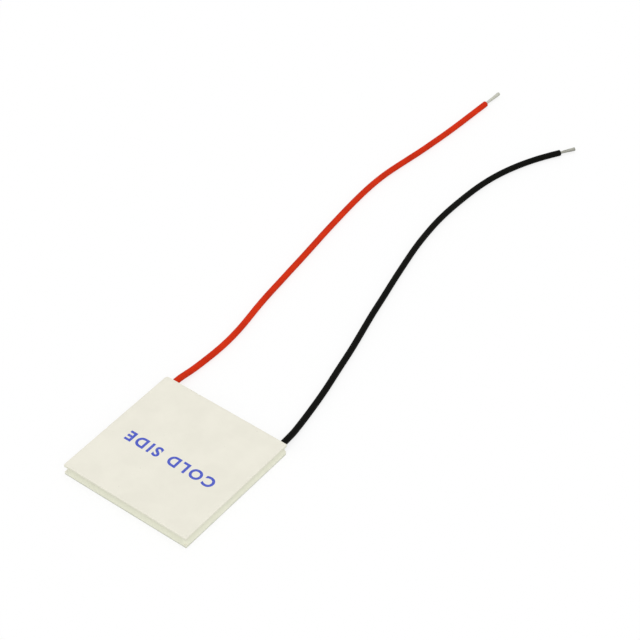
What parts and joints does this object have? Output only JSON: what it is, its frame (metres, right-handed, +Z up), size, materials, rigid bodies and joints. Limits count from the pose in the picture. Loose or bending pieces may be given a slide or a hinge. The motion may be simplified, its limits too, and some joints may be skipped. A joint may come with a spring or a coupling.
{
  "type": "thermoelectric cooling module",
  "caption": "Square flat solid-state heat pump: two off-white ceramic plates over a chain of semiconductor pellets, with a red and a black lead leaving one side.",
  "frame": {"origin": "centre of the hot plate's outer face, the underside of the module", "axes": "+Z up through the plates to the cold face; the leads leave the +Y side, the red one at -X and the black one at +X"},
  "size_m": [0.0466, 0.1976, 0.0035],
  "materials": {
    "alumina_plate": "matte",
    "edge_sealant": "satin",
    "n_type_pellets": "satin",
    "p_type_pellets": "satin",
    "copper_tabs": "satin",
    "solder": "satin",
    "red_insulation": "satin",
    "black_insulation": "satin",
    "tinned_wire": "satin"
  },
  "bodies": {
    "root": {"cold_plate": "alumina_plate", "hot_plate": "alumina_plate", "edge_sealant": "edge_sealant", "n_pellets_1": "n_type_pellets", "n_pellets_2": "n_type_pellets", "n_pellets_3": "n_type_pellets", "n_pellets_4": "n_type_pellets", "n_pellets_5": "n_type_pellets", "n_pellets_6": "n_type_pellets", "n_pellets_7": "n_type_pellets", "n_pellets_8": "n_type_pellets", "p_pellets_1": "p_type_pellets", "p_pellets_2": "p_type_pellets", "p_pellets_3": "p_type_pellets", "p_pellets_4": "p_type_pellets", "p_pellets_5": "p_type_pellets", "p_pellets_6": "p_type_pellets", "p_pellets_7": "p_type_pellets", "p_pellets_8": "p_type_pellets", "hot_tabs_1": "copper_tabs", "hot_tabs_2": "copper_tabs", "hot_tabs_3": "copper_tabs", "hot_tabs_4": "copper_tabs", "hot_tabs_5": "copper_tabs", "hot_tabs_6": "copper_tabs", "hot_tabs_7": "copper_tabs", "hot_tabs_8": "copper_tabs", "cold_tabs_1": "copper_tabs", "cold_tabs_2": "copper_tabs", "cold_tabs_3": "copper_tabs", "cold_tabs_4": "copper_tabs", "cold_tabs_5": "copper_tabs", "cold_tabs_6": "copper_tabs", "cold_tabs_7": "copper_tabs", "cold_tabs_8": "copper_tabs", "hot_side_solder": "solder", "cold_side_solder": "solder", "red_lead": "red_insulation", "red_lead_tip": "tinned_wire", "red_lead_inner_end": "tinned_wire", "red_lead_solder": "solder", "black_lead": "black_insulation", "black_lead_tip": "tinned_wire", "black_lead_inner_end": "tinned_wire", "black_lead_solder": "solder"}
  },
  "joints": []
}
